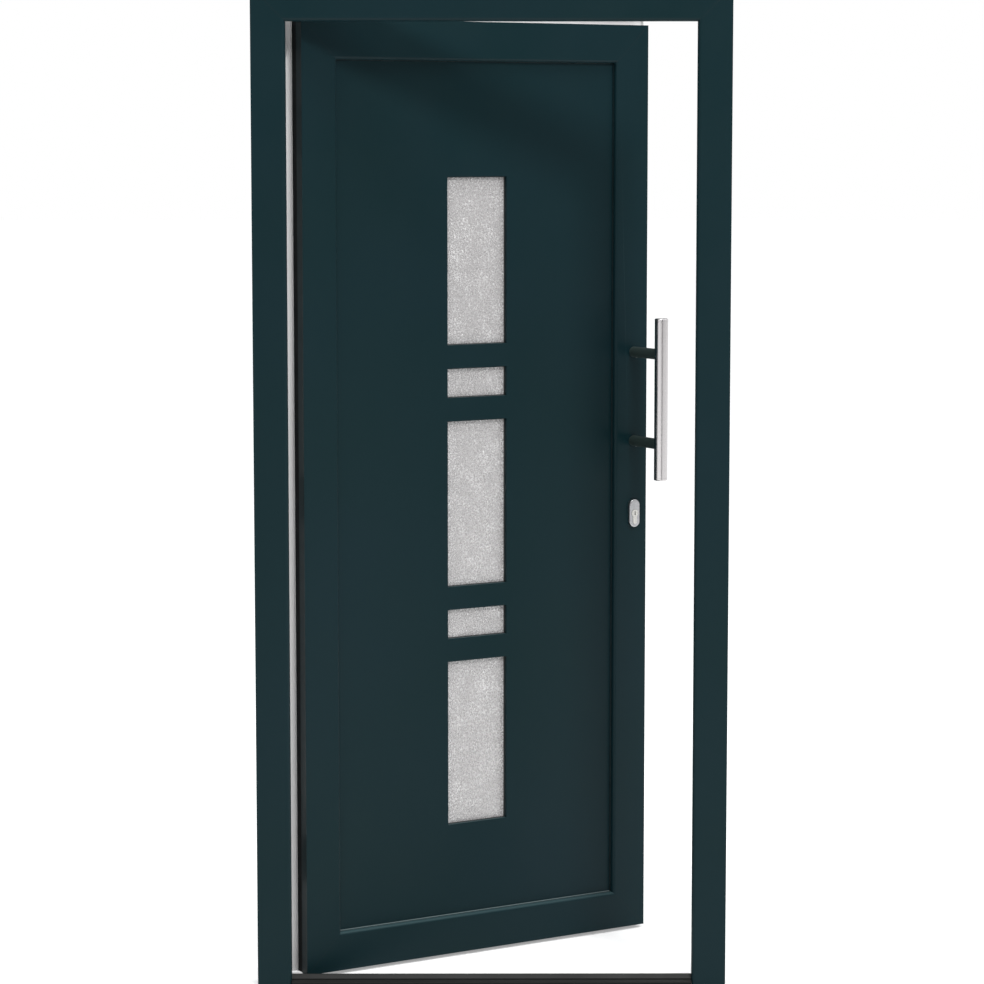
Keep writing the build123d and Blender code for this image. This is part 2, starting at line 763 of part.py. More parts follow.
half_bolt = bolt_thickness / 2
with BuildPart() as latch_bolt:
    with BuildSketch(Plane.XY.offset(latch_centre - latch_height / 2)):
        with BuildLine():
            Polyline(
                (leaf_half + latch_throw - latch_head, lock_y - half_bolt),
                (leaf_half + latch_lead, lock_y - half_bolt),
                (leaf_half + latch_throw, lock_y + half_bolt - latch_flat),
                (leaf_half + latch_throw, lock_y + half_bolt),
                (leaf_half + latch_throw - latch_head, lock_y + half_bolt),
                close=True,
            )
        make_face()
    extrude(amount=latch_height)
    with BuildSketch(Plane.XY.offset(latch_centre - latch_tail / 2)):
        with Locations((leaf_half + latch_throw - latch_head - latch_tail_length / 2, lock_y)):
            Rectangle(latch_tail_length, half_bolt)
    extrude(amount=latch_tail)

with BuildPart() as deadbolt:
    with BuildSketch(Plane.XY.offset(deadbolt_centre - deadbolt_height / 2)):
        with Locations((leaf_half - deadbolt_length / 2, lock_y)):
            Rectangle(deadbolt_length, bolt_thickness)
    extrude(amount=deadbolt_height)
    chamfer(deadbolt.faces().sort_by(Axis.X)[-1].edges(), bolt_chamfer)

# Follower that the spindle turns, with the arm that draws the latch
follower_thickness = bolt_thickness
with BuildPart() as lock_follower:
    with BuildSketch(leaf_plane(leaf_outer_depth + (leaf_break_depth - follower_thickness) / 2)):
        with Locations((lock_x, lever_height)):
            Circle(follower_radius)
    extrude(amount=-follower_thickness)
    with BuildSketch(leaf_plane(case_start)):
        with Locations((lock_x, lever_height)):
            Circle(boss_radius)
    extrude(amount=-case_thickness)
    with BuildSketch(leaf_plane(leaf_outer_depth + (leaf_break_depth - latch_tail) / 2)):
        with Locations((lock_x, lever_height + follower_arm / 2)):
            Rectangle(follower_arm_width, follower_arm)
    extrude(amount=-latch_tail)
    with BuildSketch(leaf_plane(case_start)):
        with Locations((lock_x, lever_height)):
            Rectangle(spindle_side + 2 * turning_gap, spindle_side + 2 * turning_gap)
    extrude(amount=-case_thickness, mode=Mode.SUBTRACT)

# Profile cylinder with its turning plug
cylinder_start = -rosette_thickness - cylinder_proud
cylinder_length = leaf_depth + backplate_thickness + cylinder_proud - cylinder_start
with BuildPart() as cylinder_body:
    with BuildSketch(leaf_plane(cylinder_start)):
        add(cylinder_outline(0))
    extrude(amount=-cylinder_length)
    with BuildSketch(leaf_plane(cylinder_start)):
        with Locations((lock_x, cylinder_height)):
            Circle(plug_radius + turning_gap)
    extrude(amount=-cylinder_length, mode=Mode.SUBTRACT)
    with BuildSketch(leaf_plane(middle_depth - cam_slot / 2)):
        with Locations((lock_x, cylinder_height - cam_reach - cam_room + profile_height / 2)):
            Rectangle(2 * (profile_radius + cam_room), profile_height)
    extrude(amount=-cam_slot, mode=Mode.SUBTRACT)

with BuildPart() as key_plug:
    with BuildSketch(leaf_plane(cylinder_start)):
        with Locations((lock_x, cylinder_height)):
            Circle(plug_radius)
    extrude(amount=-cylinder_length)
    with BuildSketch(leaf_plane(middle_depth - cam_width / 2)):
        with Locations((lock_x, cylinder_height)):
            Circle(cam_radius)
        with Locations((lock_x, cylinder_height - cam_reach / 2)):
            Rectangle(cam_tooth, cam_reach)
    extrude(amount=-cam_width)
    for start, direction in ((cylinder_start, -1), (cylinder_start + cylinder_length, 1)):
        with BuildSketch(leaf_plane(start)):
            with Locations((lock_x, cylinder_height)):
                Rectangle(keyway_width, keyway_height)
        extrude(amount=direction * keyway_depth, mode=Mode.SUBTRACT)

with BuildPart() as outer_rosette:
    with BuildSketch(leaf_plane(0)):
        with Locations((lock_x, cylinder_height)):
            SlotOverall(rosette_height, rosette_width, rotation=90)
    extrude(amount=rosette_thickness)
    fillet(outer_rosette.faces().sort_by(Axis.Y)[0].edges(), rosette_round)
    with BuildSketch(leaf_plane(0)):
        add(cylinder_outline(bolt_play))
    extrude(amount=rosette_thickness, mode=Mode.SUBTRACT)

# Inner backplate, spindle and lever
with BuildPart() as inner_backplate:
    with BuildSketch(leaf_plane(leaf_depth)):
        with Locations((lock_x, backplate_centre)):
            SlotOverall(backplate_length, backplate_width, rotation=90)
    extrude(amount=-backplate_thickness)
    fillet(inner_backplate.faces().sort_by(Axis.Y)[-1].edges(), rosette_round)
    with BuildSketch(leaf_plane(leaf_depth)):
        add(cylinder_outline(bolt_play))
        with Locations((lock_x, lever_height)):
            Circle(neck_radius + turning_gap)
    extrude(amount=-backplate_thickness, mode=Mode.SUBTRACT)

neck_start = leaf_back + clear
neck_end = leaf_back + neck_length
spindle_start = case_start
spindle_end = leaf_depth + neck_length / 2
with BuildPart() as lever_spindle:
    with BuildSketch(leaf_plane(spindle_start)):
        with Locations((lock_x, lever_height)):
            Rectangle(spindle_side, spindle_side)
    extrude(amount=-(spindle_end - spindle_start))

with BuildPart() as lever_handle:
    with BuildLine() as lever_line:
        FilletPolyline(
            (lock_x, neck_start, lever_height),
            (lock_x, neck_end, lever_height),
            (lock_x - grip_length, neck_end, lever_height),
            radius=neck_bend,
        )
    with BuildSketch(Plane(origin=(lock_x, neck_start, lever_height), z_dir=(0, 1, 0))):
        Circle(neck_radius)
    sweep()
    with BuildSketch(leaf_plane(leaf_depth)):
        with Locations((lock_x, lever_height)):
            Rectangle(spindle_side + 2 * turning_gap, spindle_side + 2 * turning_gap)
    extrude(amount=-(spindle_end - leaf_depth), mode=Mode.SUBTRACT)
    chamfer(lever_handle.faces().sort_by(Axis.X)[0].edges(), grip_chamfer)

# Pull bar on two standoffs
pull_y = leaf_face - pull_stand
with BuildPart() as pull_bar:
    with BuildSketch(Plane.XY.offset(pull_centre - pull_length / 2)):
        with Locations((lock_x, pull_y)):
            Circle(pull_radius)
    extrude(amount=pull_length)
    chamfer(pull_bar.edges().filter_by(GeomType.CIRCLE), pull_end_chamfer)

with BuildPart() as pull_standoffs:
    with BuildSketch(leaf_plane(0)):
        with Locations(
            (lock_x, pull_centre - standoff_spacing / 2),
            (lock_x, pull_centre + standoff_spacing / 2),
        ):
            Circle(standoff_radius)
    extrude(amount=pull_stand)
    with BuildSketch(Plane.XY.offset(pull_centre - pull_length / 2)):
        with Locations((lock_x, pull_y)):
            Circle(pull_radius)
    extrude(amount=pull_length, mode=Mode.SUBTRACT)

leaf_pieces.update(
    {
        "lock_faceplate": lock_faceplate.part,
        "lock_case": lock_case.part,
        "latch_bolt": latch_bolt.part,
        "deadbolt": deadbolt.part,
        "lock_follower": lock_follower.part,
        "cylinder_body": cylinder_body.part,
        "key_plug": key_plug.part,
        "outer_rosette": outer_rosette.part,
        "inner_backplate": inner_backplate.part,
        "lever_spindle": lever_spindle.part,
        "lever_handle": lever_handle.part,
        "pull_bar": pull_bar.part,
        "pull_standoffs": pull_standoffs.part,
    }
)

# Swing the leaf open with everything on it, then write every piece
os.makedirs("parts", exist_ok=True)
for label, piece in frame_pieces.items():
    piece.label = label
    export_step(piece, f"parts/{label}.step")
for label, piece in leaf_pieces.items():
    swung = piece.rotate(hinge_axis, opening_angle)
    swung.label = label
    export_step(swung, f"parts/{label}.step")

print("pieces:", len(frame_pieces) + len(leaf_pieces))
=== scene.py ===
# %% [markdown]
# # A front door standing ajar in its frame
# The real thing is a set of coated aluminium profiles: a frame with a stop round the doorway, and a
# leaf of stiles and rails that holds a panel with five windows. The solids come ready made and in
# place, so this lesson only dresses them: light, finishes, and the small parts a maker adds last.
# Everything is in metres. Seen from outside, X runs right, Y runs inwards and Z runs up.

# %% Load the solids
import json
import math
import random

import bmesh
import bpy
from mathutils import Matrix, Vector


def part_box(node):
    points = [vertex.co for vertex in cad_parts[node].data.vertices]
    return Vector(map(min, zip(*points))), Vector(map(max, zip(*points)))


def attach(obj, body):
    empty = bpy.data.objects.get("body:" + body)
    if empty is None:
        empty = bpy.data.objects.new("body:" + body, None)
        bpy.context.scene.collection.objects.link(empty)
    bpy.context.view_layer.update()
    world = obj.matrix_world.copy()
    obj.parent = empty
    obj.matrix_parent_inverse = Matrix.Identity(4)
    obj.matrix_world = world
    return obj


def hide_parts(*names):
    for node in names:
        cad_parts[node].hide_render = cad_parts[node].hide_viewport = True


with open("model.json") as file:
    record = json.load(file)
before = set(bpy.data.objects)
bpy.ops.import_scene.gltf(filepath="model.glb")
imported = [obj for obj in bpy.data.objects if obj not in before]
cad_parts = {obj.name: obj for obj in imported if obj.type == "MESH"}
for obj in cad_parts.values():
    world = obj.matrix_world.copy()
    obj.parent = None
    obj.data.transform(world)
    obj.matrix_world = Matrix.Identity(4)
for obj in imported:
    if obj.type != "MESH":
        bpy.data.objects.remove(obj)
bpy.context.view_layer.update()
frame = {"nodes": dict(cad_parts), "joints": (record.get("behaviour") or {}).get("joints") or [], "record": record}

# %% [markdown]
# ## The camera
# The picture was taken square to the frame, from about eye level, with a long lens. The camera could
# be kept level and shifted down, but a shift would stay in every other view. So it looks down by a
# few degrees instead. With so long a lens the uprights stay nearly parallel all the same.

# %% Place the camera
camera_data = bpy.data.cameras.new("front_camera")
camera_data.lens = 115.56
camera_data.sensor_width = 36.0
camera_data.clip_end = 200.0
camera = bpy.data.objects.new("front_camera", camera_data)
camera_height = 1.8116
camera_distance = 6.636
camera_side = -0.0216
look_down = math.radians(6.472)
look_right = math.radians(0.194)
level_view = math.radians(90)
camera.location = (camera_side, -camera_distance, camera_height)
camera.rotation_euler = (level_view - look_down, 0.0, -look_right)
bpy.context.scene.collection.objects.link(camera)
bpy.context.scene.camera = camera
print("camera at", tuple(camera.location))

# %% [markdown]
# ## Floor and light
# A product picture on white needs a ground that is white right up to the object. So the floor runs
# out of sight, and later it gets a pale finish with a faint glow, like a light table, which lightens
# the shadows on it. One lamp high on the right models the door. It is small enough for the head to
# throw a soft slanting shadow on the leaf. A wide, weak lamp on the left opens the shadows, one at
# the back rakes across the inside, and one overhead lights the edges that look up.

# %% Lay the floor
floor_size = 120.0
floor_mesh = bpy.data.meshes.new("studio_floor")
floor_build = bmesh.new()
bmesh.ops.create_grid(floor_build, x_segments=1, y_segments=1, size=floor_size / 2)
floor_build.to_mesh(floor_mesh)
floor_build.free()
floor = bpy.data.objects.new("studio_floor", floor_mesh)
bpy.context.scene.collection.objects.link(floor)

# %% Light the studio
bpy.context.scene.view_settings.view_transform = "Standard"
door_middle = (0.0, 0.2, 1.1)
before_the_door = (0.2, -1.3, 0.0)
# Each square lamp: where it hangs, what it looks at, its width in metres and its power in watts.
lamps = {
    "key_lamp": ((2.8, -4.6, 5.8), door_middle, 1.1, 270.0),
    "fill_lamp": ((-4.2, -4.0, 2.4), door_middle, 3.0, 5.0),
    "back_lamp": ((3.6, 4.4, 3.2), door_middle, 1.8, 26.0),
    "top_lamp": ((0.2, -1.3, 6.4), before_the_door, 2.0, 180.0),
}
for name, (place, target, width, power) in lamps.items():
    lamp_data = bpy.data.lights.new(name, "AREA")
    lamp_data.energy = power
    lamp_data.size = width
    lamp = bpy.data.objects.new(name, lamp_data)
    lamp.location = place
    lamp.rotation_euler = (Vector(target) - Vector(place)).to_track_quat("-Z", "Y").to_euler()
    bpy.context.scene.collection.objects.link(lamp)
print("lamps:", list(lamps))

# %% [markdown]
# ## Writing shader nodes
# Each finish is a small tree of nodes. They could be added one by one by hand, but the recipes below
# are easier to read when one helper adds a node and fills its sockets, either with a plain value or
# with a link from another node. The other helpers are short names for the nodes that most recipes
# need: a noise, a stretched range, a sum, and a mix of two colours.

# %% Node helpers
# A Mix node has sockets for numbers, vectors and colours. These are the ones for colours.
MIX_MASK = 0
MIX_LOW = 6
MIX_HIGH = 7
MIX_RESULT = 2
# Most of a noise lies between these values.
NOISE_LOW = 0.3
NOISE_HIGH = 0.7


def put(tree, kind, inputs=None, **settings):
    """Adds a node. Inputs are socket values or links, and settings are its own properties."""
    node = tree.nodes.new(kind)
    for key, value in settings.items():
        setattr(node, key, value)
    for socket, value in (inputs or {}).items():
        if isinstance(value, bpy.types.NodeSocket):
            tree.links.new(value, node.inputs[socket])
        else:
            node.inputs[socket].default_value = value
    return node


def noise(tree, place, scale, detail, **more):
    """The value of a noise. Scale is how many swells it has in a metre."""
    inputs = {"Vector": place, "Scale": scale, "Detail": detail, **more}
    return put(tree, "ShaderNodeTexNoise", inputs).outputs[0]


def ranged(tree, value, low, high, start=NOISE_LOW, end=NOISE_HIGH):
    """Stretches the part of a value between start and end to low and high."""
    inputs = {"Value": value, "From Min": start, "From Max": end, "To Min": low, "To Max": high}
    return put(tree, "ShaderNodeMapRange", inputs).outputs["Result"]


def added(tree, first, share, second):
    """A share of the first value on top of the second."""
    inputs = {0: first, 1: share, 2: second}
    return put(tree, "ShaderNodeMath", inputs, operation="MULTIPLY_ADD").outputs[0]


def mixed_colour(tree, mask, low, high):
    """A colour that goes from low to high with a mask. Each is a tone or a link."""
    low, high = ((*tone, 1.0) if isinstance(tone, tuple) else tone for tone in (low, high))
    inputs = {MIX_MASK: mask, MIX_LOW: low, MIX_HIGH: high}
    return put(tree, "ShaderNodeMix", inputs, data_type="RGBA").outputs[MIX_RESULT]


# %% [markdown]
# ## The sky
# The camera sees a white sky. A sky that is as white everywhere would also be mirrored in the dark
# coat and wash it out. So everything but the camera gets a sky that is bright overhead and dim
# towards the horizon: it whitens the floor, while the upright door mirrors only its dim part.

# %% White sky, brighter overhead
studio = bpy.data.worlds.new("studio_white")
studio.use_nodes = True
bpy.context.scene.world = studio
sky = studio.node_tree
sky.nodes.clear()
direction = put(sky, "ShaderNodeSeparateXYZ", {0: put(sky, "ShaderNodeTexCoord").outputs["Generated"]})
overhead = put(
    sky,
    "ShaderNodeMapRange",
    {"Value": direction.outputs["Z"], "From Min": 0.3, "From Max": 0.8, "To Min": 0.15, "To Max": 1.6},
    interpolation_type="SMOOTHSTEP",
)
cool_white = (0.97, 0.985, 1.0, 1.0)
pure_white = (1.0, 1.0, 1.0, 1.0)
light = {"Color": cool_white, "Strength": overhead.outputs["Result"]}
lighting_sky = put(sky, "ShaderNodeBackground", light)
seen_sky = put(sky, "ShaderNodeBackground", {"Color": pure_white})
camera_ray = put(sky, "ShaderNodeLightPath").outputs["Is Camera Ray"]
skies = {0: camera_ray, 1: lighting_sky.outputs[0], 2: seen_sky.outputs[0]}
sky_choice = put(sky, "ShaderNodeMixShader", skies)
put(sky, "ShaderNodeOutputWorld", {"Surface": sky_choice.outputs[0]})
print("sky nodes:", len(sky.nodes))

# %% [markdown]
# ## Effects that several finishes share
# Powder coat is sprayed dry and baked, so it flows into a faint orange peel with finer specks on
# top, and its gloss and tone drift a little over a long profile. Brushed and drawn metal has
# streaks that are long one way and very narrow the other. Extruded rubber and moulded plastic have a
# dull, faintly mottled skin. Each could be copied into every material, but as a node group it is
# built once and placed in the finishes with different values.

# %% Starting and closing a group
FLOAT = "NodeSocketFloat"
VECTOR = "NodeSocketVector"


def new_group(name, inputs):
    """Starts a shader node group. Each input has a name, a kind and a usual value."""
    group = bpy.data.node_groups.new(name, "ShaderNodeTree")
    for socket_name, (kind, value) in inputs.items():
        socket = group.interface.new_socket(name=socket_name, in_out="INPUT", socket_type=kind)
        if value is not None:
            socket.default_value = value
    return group, group.nodes.new("NodeGroupInput").outputs


def close_group(group, outputs):
    """Gives a group its named outputs."""
    for socket_name in outputs:
        group.interface.new_socket(name=socket_name, in_out="OUTPUT", socket_type=FLOAT)
    end = group.nodes.new("NodeGroupOutput")
    for socket_name, value in outputs.items():
        group.links.new(value, end.inputs[socket_name])
    print("effect:", group.name, "with", len(group.nodes), "nodes")


# %% Powder coat effect
coat_grain, given = new_group(
    "coat_grain",
    {
        "Place": (VECTOR, None),
        "Peel": (FLOAT, 330.0),
        "Speck": (FLOAT, 1900.0),
        "Low": (FLOAT, 0.4),
        "High": (FLOAT, 0.5),
    },
)
peel = noise(coat_grain, given["Place"], scale=given["Peel"], detail=2.0)
speck = noise(coat_grain, given["Place"], scale=given["Speck"], detail=1.0)
drift = noise(coat_grain, given["Place"], scale=2.3, detail=3.0, Roughness=0.45)
patch = noise(coat_grain, given["Place"], scale=9.0, detail=4.0)
speck_share = 0.35
close_group(
    coat_grain,
    {
        "Height": added(coat_grain, speck, speck_share, peel),
        "Roughness": ranged(coat_grain, patch, given["Low"], given["High"]),
        "Drift": ranged(coat_grain, drift, 0.0, 1.0),
    },
)

# %% Drawn and brushed metal effect
metal_streaks, given = new_group(
    "metal_streaks",
    {"Place": (VECTOR, None), "Low": (FLOAT, 0.2), "High": (FLOAT, 0.4)},
)
fine = noise(metal_streaks, given["Place"], scale=1.0, detail=3.0)
broad = noise(metal_streaks, given["Place"], scale=0.22, detail=2.0)
broad_share = 0.6
close_group(
    metal_streaks,
    {
        "Height": added(metal_streaks, broad, broad_share, fine),
        "Roughness": ranged(metal_streaks, fine, given["Low"], given["High"]),
        "Shade": ranged(metal_streaks, broad, 0.0, 1.0),
    },
)

# %% Rubber and plastic effect
moulded_skin, given = new_group(
    "moulded_skin",
    {"Place": (VECTOR, None), "Grain": (FLOAT, 900.0), "Low": (FLOAT, 0.55), "High": (FLOAT, 0.8)},
)
grain = noise(moulded_skin, given["Place"], scale=given["Grain"], detail=4.0)
bloom = noise(moulded_skin, given["Place"], scale=14.0, detail=5.0)
close_group(
    moulded_skin,
    {
        "Height": grain,
        "Roughness": ranged(moulded_skin, bloom, given["Low"], given["High"]),
        "Bloom": ranged(moulded_skin, bloom, 0.0, 1.0),
    },
)

# %% [markdown]
# ## Finishes
# Every finish is one Principled shader. The groups feed its colour, gloss and bump, and what is the
# same all over a surface is simply typed into its sockets. A single tone would look like plastic, so
# each finish gets two close tones and a lowest and highest roughness, and its effect moves between.

# %% Start of every finish
millimetre = 0.001
finishes = {}


def new_finish(name, fixed):
    """A material with a Principled shader whose fixed sockets are set."""
    finish = bpy.data.materials.new(name)
    finish.use_nodes = True
    finishes[name] = finish
    tree = finish.node_tree
    shader = tree.nodes["Principled BSDF"]
    for socket, value in fixed.items():
        shader.inputs[socket].default_value = value
    return tree, shader, put(tree, "ShaderNodeTexCoord").outputs["Object"]


def use_group(tree, group, inputs):
    """Places a shared effect in a material with its own values, and hands back its outputs."""
    return put(tree, "ShaderNodeGroup", inputs, node_tree=group).outputs


def feed(tree, shader, colour, roughness, height, strength, depth):
    """Feeds a shader a colour, a roughness, and a height as its bump."""
    bump = put(tree, "ShaderNodeBump", {"Height": height, "Strength": strength, "Distance": depth})
    tree.links.new(colour, shader.inputs["Base Color"])
    tree.links.new(roughness, shader.inputs["Roughness"])
    tree.links.new(bump.outputs[0], shader.inputs["Normal"])


# %% [markdown]
# ## Coats
# The outside wears a deep blue-green powder coat and the inside a pale grey one. A clear layer on
# top could give the sheen, but one satin layer is enough at this distance. The dark coat has a low
# specular level, because a stronger shine would wash out its colour. The ridge of the threshold is
# nearly black, and the standoffs of the pull bar wear a rougher coat.

# %% Coats of the profiles, hinges, threshold and standoffs
peel_depth = 0.05 * millimetre


def powder_coat(name, low, high, gloss, specular=0.3, peel=330.0, strength=0.25):
    """A baked powder coat between two close tones. Peel is how many swells it has in a metre."""
    tree, shader, place = new_finish(name, {"Specular IOR Level": specular})
    values = {"Place": place, "Peel": peel, "Low": gloss[0], "High": gloss[1]}
    grain = use_group(tree, coat_grain, values)
    colour = mixed_colour(tree, grain["Drift"], low, high)
    feed(tree, shader, colour, grain["Roughness"], grain["Height"], strength, peel_depth)


satin = (0.34, 0.42)
powder_coat("outer_coat", (0.0026, 0.0141, 0.0166), (0.0034, 0.0148, 0.0190), satin, specular=0.11)
powder_coat("inner_coat", (0.59, 0.585, 0.585), (0.64, 0.635, 0.635), satin, specular=0.4)
powder_coat(
    "hinge_coat", (0.56, 0.555, 0.555), (0.61, 0.605, 0.605), (0.3, 0.4), specular=0.4, peel=520.0
)
powder_coat(
    "threshold_coat", (0.0065, 0.0070, 0.0065), (0.0100, 0.0105, 0.0100), (0.5, 0.6), specular=0.2
)
powder_coat(
    "standoff_coat", (0.016, 0.026, 0.024), (0.020, 0.031, 0.029), (0.4, 0.5), peel=700.0, strength=0.4
)
print("coats:", list(finishes))

# %% [markdown]
# ## Metals
# The pull bar and the inside fittings are satin stainless steel, brushed along their length, and
# the lock parts are plated. Streaks are drawn by stretching the noise's coordinates: many steps
# across, few along. Pieces on the leaf need their coordinates turned back by the opening angle. The
# pull bar has broader streaks that run its whole length, because in the photo it is striped. These
# broad light and dark bands are painted reflections: a round, polished tube mirrors the studio in
# stripes, and here the stripes are part of its colour.

# %% How far the leaf stands open
door = next(joint for joint in frame["joints"] if joint["name"] == "door_swing")
opening = math.radians(-door["range_deg"][0])
hinge_point = Vector(door["pos_m"])
turn_open = Matrix.Rotation(opening, 4, "Z")
swing = Matrix.Translation(hinge_point) @ turn_open @ Matrix.Translation(-hinge_point)
unswing = swing.inverted()
print("the leaf stands open by", round(math.degrees(opening), 1), "degrees")

# %% Metal finishes
streak_strength = 0.3
streak_depth = 0.03 * millimetre
# Steps of the noise in a metre, along the closed leaf's X, Y and Z.
UPRIGHT = (2600.0, 2600.0, 25.0)
LEVEL = (25.0, 2600.0, 2600.0)
EVEN = (900.0, 900.0, 900.0)
WHOLE_BAR = (400.0, 400.0, 1.2)


def streaked_metal(name, low, high, gloss, steps, turned=True):
    """A metal with streaks. Turned says that it is on the leaf, which stands open."""
    tree, shader, place = new_finish(name, {"Metallic": 1.0})
    if turned:
        inputs = {"Vector": place, "Angle": -opening}
        place = put(tree, "ShaderNodeVectorRotate", inputs, rotation_type="Z_AXIS").outputs[0]
    stretch = put(tree, "ShaderNodeMapping", {"Vector": place, "Scale": steps})
    values = {"Place": stretch.outputs[0], "Low": gloss[0], "High": gloss[1]}
    streaks = use_group(tree, metal_streaks, values)
    colour = mixed_colour(tree, streaks["Shade"], low, high)
    feed(tree, shader, colour, streaks["Roughness"], streaks["Height"], streak_strength, streak_depth)


streaked_metal("stainless", (0.52, 0.50, 0.50), (0.64, 0.61, 0.61), (0.13, 0.24), UPRIGHT)
streaked_metal("stainless_lever", (0.56, 0.54, 0.54), (0.66, 0.63, 0.63), (0.22, 0.36), LEVEL)
# The bar's broad light and dark bands, from 0.34 to 0.76, are painted reflections on the round tube, on top of its
# drawn streaks.
streaked_metal("stainless_bar_painted_bands", (0.34, 0.325, 0.33), (0.76, 0.73, 0.73), (0.14, 0.24), WHOLE_BAR)
streaked_metal("rosette_satin", (0.38, 0.38, 0.39), (0.46, 0.46, 0.475), (0.26, 0.38), EVEN)
streaked_metal("cylinder_brass", (0.56, 0.55, 0.52), (0.64, 0.63, 0.60), (0.24, 0.34), EVEN)
streaked_metal("lock_steel", (0.5, 0.5, 0.5), (0.6, 0.6, 0.59), (0.25, 0.4), UPRIGHT)
streaked_metal("spacer", (0.42, 0.42, 0.42), (0.52, 0.52, 0.52), (0.4, 0.5), EVEN)
streaked_metal(
    "threshold_aluminium", (0.20, 0.20, 0.20), (0.28, 0.28, 0.28), (0.38, 0.5), LEVEL, turned=False
)
streaked_metal(
    "hinge_pin_steel", (0.52, 0.52, 0.52), (0.62, 0.62, 0.61), (0.2, 0.3), UPRIGHT, turned=False
)
print("finishes with the metals:", len(finishes))

# %% [markdown]
# ## Glass
# The outer panes are obscure glass: rolled with fine chips that scatter what is behind, so they look
# like pale grey grit with sparkles. The chips could be modelled, but that takes a huge mesh. So small
# cells make them in the bump, and a fine noise that gathers in clusters makes the tone. The inner
# panes are plain float glass with a breath of dust.

# %% Obscure glass
tree, shader, place = new_finish(
    "obscure_glass", {"Transmission Weight": 0.45, "IOR": 1.5, "Specular IOR Level": 0.6}
)
chip_strength = 0.8
chip_depth = 0.6 * millimetre
cluster_share = 0.25
cells = put(tree, "ShaderNodeTexVoronoi", {"Vector": place, "Scale": 300.0}, feature="F1")
grit = noise(tree, place, scale=260.0, detail=3.0, Roughness=0.6)
cluster = noise(tree, place, scale=28.0, detail=2.0)
speckle = ranged(tree, added(tree, cluster, cluster_share, grit), 0.0, 1.0, start=0.66, end=0.86)
tone = mixed_colour(tree, speckle, (0.50, 0.485, 0.485), (0.97, 0.96, 0.955))
scatter = ranged(tree, grit, 0.15, 0.5, start=0.35, end=0.65)
feed(tree, shader, tone, scatter, cells.outputs["Distance"], chip_strength, chip_depth)

# %% Clear glass
tree, shader, place = new_finish("clear_glass", {"Transmission Weight": 0.92, "IOR": 1.5})
dust = noise(tree, place, scale=60.0, detail=5.0)
tint = mixed_colour(tree, dust, (0.90, 0.94, 0.93), (0.95, 0.97, 0.965))
tree.links.new(tint, shader.inputs["Base Color"])
tree.links.new(ranged(tree, dust, 0.02, 0.07), shader.inputs["Roughness"])
print("finishes with the glass:", len(finishes))

# %% [markdown]
# ## Rubber, plastic, foam and floor
# Most seals and the thermal breaks are black but never pure black: a dull bloom lifts them. The seal
# on the inner lip and the brush are pale, to go with the inner shells. The foam core is hidden when
# the door is whole. The floor is pale with the faintest mottling. It could be left plain white, but
# then the door's shadow would show on it, so it glows a little.

# %% Soft and plastic finishes


def moulded(name, low, high, gloss, grain, strength, depth, specular=0.35, glow=0.0):
    """Rubber, plastic or foam between two tones. Grain is swells in a metre, depth is millimetres."""
    tree, shader, place = new_finish(name, {"Specular IOR Level": specular, "Emission Strength": glow})
    values = {"Place": place, "Grain": grain, "Low": gloss[0], "High": gloss[1]}
    skin = use_group(tree, moulded_skin, values)
    colour = mixed_colour(tree, skin["Bloom"], low, high)
    feed(tree, shader, colour, skin["Roughness"], skin["Height"], strength, depth * millimetre)


moulded(
    "thermal_break", (0.004, 0.005, 0.006), (0.008, 0.009, 0.010), gloss=(0.5, 0.65),
    grain=1500.0, strength=0.3, depth=0.05, specular=0.05,
)
moulded(
    "gasket_lip", (0.002, 0.007, 0.008), (0.003, 0.009, 0.011), gloss=(0.24, 0.32),
    grain=1800.0, strength=0.15, depth=0.03, specular=0.08,
)
moulded(
    "seal_rubber", (0.010, 0.010, 0.010), (0.020, 0.020, 0.020), gloss=(0.5, 0.7),
    grain=2200.0, strength=0.3, depth=0.04,
)
moulded(
    "pale_rubber", (0.46, 0.46, 0.455), (0.54, 0.54, 0.53), gloss=(0.5, 0.7),
    grain=2200.0, strength=0.3, depth=0.04,
)
moulded(
    "brush", (0.42, 0.42, 0.41), (0.55, 0.55, 0.54), gloss=(0.6, 0.8),
    grain=3000.0, strength=0.4, depth=0.05,
)
moulded(
    "panel_foam", (0.70, 0.66, 0.52), (0.78, 0.75, 0.62), gloss=(0.8, 0.95),
    grain=1200.0, strength=0.8, depth=0.3,
)
moulded(
    "nylon", (0.62, 0.62, 0.58), (0.70, 0.70, 0.66), gloss=(0.4, 0.5),
    grain=1400.0, strength=0.2, depth=0.03,
)
moulded(
    "joint_line", (0.006, 0.008, 0.009), (0.010, 0.012, 0.013), gloss=(0.6, 0.8),
    grain=1600.0, strength=0.2, depth=0.02,
)
moulded(
    "studio_floor", (0.69, 0.69, 0.685), (0.72, 0.72, 0.715), gloss=(0.6, 0.75),
    grain=60.0, strength=0.1, depth=0.1, glow=0.3,
)
floor.data.materials.append(finishes["studio_floor"])
print("finishes in all:", len(finishes))

# %% [markdown]
# ## Painted sheen and fine dust on the faces that look up
# In the photo the panel's lower edge shows as a pale line with a softer, broader band under it, while
# the upper edge stays dark: what looks up catches the light from above and a little dust. The coat
# shines too little to show that light, so it is painted into the colour as a paler tone, along with
# the dust. The pale faces could be picked by hand and given a finish of their own. Here the slope of
# the surface gives the mask instead, so that rounded edges fade from one tone to the other.

# %% Painted sheen and dust effect
dust_and_painted_sheen, given = new_group("dust_and_painted_sheen", {"From": (FLOAT, 0.2), "To": (FLOAT, 0.6)})
surface = put(dust_and_painted_sheen, "ShaderNodeNewGeometry")
slope = put(dust_and_painted_sheen, "ShaderNodeSeparateXYZ", {"Vector": surface.outputs["Normal"]})
looks_up = ranged(dust_and_painted_sheen, slope.outputs["Z"], 0.0, 1.0, given["From"], given["To"])
close_group(dust_and_painted_sheen, {"Mask": looks_up})
